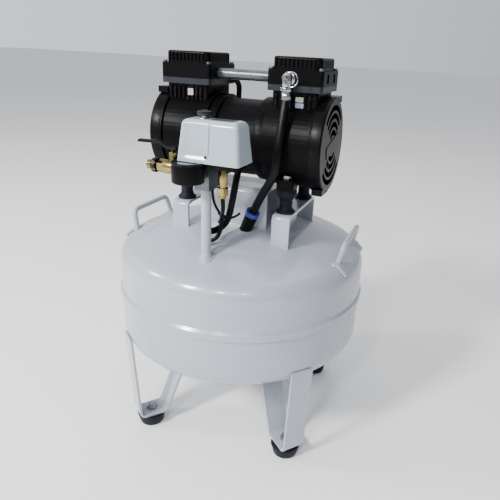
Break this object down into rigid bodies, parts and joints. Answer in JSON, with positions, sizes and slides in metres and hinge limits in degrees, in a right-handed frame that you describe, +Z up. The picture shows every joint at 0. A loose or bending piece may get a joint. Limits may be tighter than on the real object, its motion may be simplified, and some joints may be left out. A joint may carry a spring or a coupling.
{
  "type": "airbrush compressor",
  "caption": "Oil-free twin-cylinder air compressor on a round welded tank with strip legs, carrying handles, pressure switch, gauge and outlet ball valve.",
  "frame": {"origin": "on the floor, on the tank axis, under the middle of the tank", "axes": "+Z up, +X along the pump shaft towards the right-hand cylinder, -Y towards the front with the gauge and pressure switch"},
  "size_m": [0.4059, 0.406, 0.604],
  "materials": {
    "tank_paint": "gloss, light bluish grey-white",
    "pump_black": "satin black on cast aluminium",
    "valve_plate_grey": "dark anodised",
    "plastic_black": "moulded",
    "plastic_blue": "moulded",
    "switch_grey": "pale grey-blue, gloss",
    "zinc_steel": "zinc plated",
    "grey_steel": "dark grey",
    "lamination": "stacked sheet",
    "winding": "varnished copper wire",
    "alloy": "as cast",
    "chrome": "polished",
    "brass": "turned",
    "rubber": "moulded",
    "hose_rubber": "smooth",
    "dial_white": "matt",
    "clear": "clear"
  },
  "bodies": {
    "compressor": {"tank_lower_shell": "tank_paint", "tank_upper_shell": "tank_paint", "leg_back_right": "tank_paint", "leg_back_left": "tank_paint", "leg_front_left": "tank_paint", "leg_front_right": "tank_paint", "handle_left": "tank_paint", "handle_right": "tank_paint", "bracket_left": "tank_paint", "bracket_right": "tank_paint", "bracket_centre": "tank_paint", "gauge_post": "tank_paint", "rubber_feet": "rubber", "foot_bolts": "zinc_steel", "run_capacitor": "plastic_black", "rubber_mounts": "rubber", "mount_bolts": "zinc_steel", "motor_housing": "pump_black", "stator_core": "lamination", "stator_windings": "winding", "shaft_bearings": "chrome", "crankcase_left": "pump_black", "crankcase_right": "pump_black", "fan_cover_left": "plastic_black", "fan_cover_right": "plastic_black", "cylinder_left": "pump_black", "cylinder_right": "pump_black", "valve_plates": "valve_plate_grey", "head_left": "pump_black", "head_right": "pump_black", "head_cover_left": "plastic_black", "head_cover_right": "plastic_black", "head_screws": "grey_steel", "transfer_tube": "grey_steel", "discharge_elbow": "chrome", "discharge_hose": "hose_rubber", "push_fitting_body": "plastic_black", "manifold": "grey_steel", "gauge_case": "plastic_black", "gauge_dial": "dial_white", "gauge_lens": "clear", "outlet_valve_body": "brass", "switch_base": "plastic_black", "switch_cover": "switch_grey", "unloader_valve": "brass", "unloader_tube": "hose_rubber", "motor_cable": "hose_rubber", "drain_valve_body": "brass"},
    "rotor": {"rotor_core": "lamination", "crank_shaft": "grey_steel", "cooling_fans": "plastic_black"},
    "piston_l": {"piston_left": "alloy"},
    "piston_r": {"piston_right": "alloy"},
    "relief": {"relief_stem": "chrome"},
    "pull_ring": {"relief_ring": "chrome"},
    "release_collar": {"push_fitting_collar": "plastic_blue"},
    "pointer": {"gauge_pointer": "plastic_black"},
    "outlet_tap": {"outlet_lever": "grey_steel"},
    "power_knob": {"switch_knob": "plastic_black"},
    "drain_tap": {"drain_knob": "brass"}
  },
  "joints": [
    {"name": "shaft_spin", "type": "hinge", "parent": "compressor", "child": "rotor", "pos_m": [0.0085, -0.015, 0.486], "axis": [1, 0, 0], "continuous": true},
    {"name": "left_piston_stroke", "type": "slide", "parent": "compressor", "child": "piston_l", "axis": [0, 0, 1], "range_m": [-0.008, 0.008]},
    {"name": "right_piston_stroke", "type": "slide", "parent": "compressor", "child": "piston_r", "axis": [0, 0, 1], "range_m": [-0.008, 0.008]},
    {"name": "relief_pull", "type": "slide", "parent": "compressor", "child": "relief", "axis": [0, -1, 0], "range_m": [0, 0.003], "stiffness_N_per_m": 800, "springref_m": -0.002},
    {"name": "pull_ring_swing", "type": "hinge", "parent": "relief", "child": "pull_ring", "pos_m": [0.084, -0.0805, 0.578], "axis": [-0.2174, 0, -0.9761], "range_deg": [0, 75]},
    {"name": "collar_release", "type": "slide", "parent": "compressor", "child": "release_collar", "axis": [-0.4007, 0.2289, -0.8872], "range_m": [0, 0.0015], "stiffness_N_per_m": 1500, "springref_m": -0.001},
    {"name": "pointer_turn", "type": "hinge", "parent": "compressor", "child": "pointer", "pos_m": [-0.003, -0.182, 0.47], "axis": [0, 0, -1], "range_deg": [0, 270]},
    {"name": "outlet_lever_turn", "type": "hinge", "parent": "compressor", "child": "outlet_tap", "pos_m": [-0.045, -0.146, 0.457], "axis": [0, 0, 1], "range_deg": [0, 90]},
    {"name": "power_knob_press", "type": "slide", "parent": "compressor", "child": "power_knob", "axis": [0, 0, -1], "range_m": [0, 0.003]},
    {"name": "drain_tap_turn", "type": "hinge", "parent": "compressor", "child": "drain_tap", "pos_m": [0, 0, 0.084], "axis": [0, 0, 1], "range_deg": [0, 90]}
  ]
}
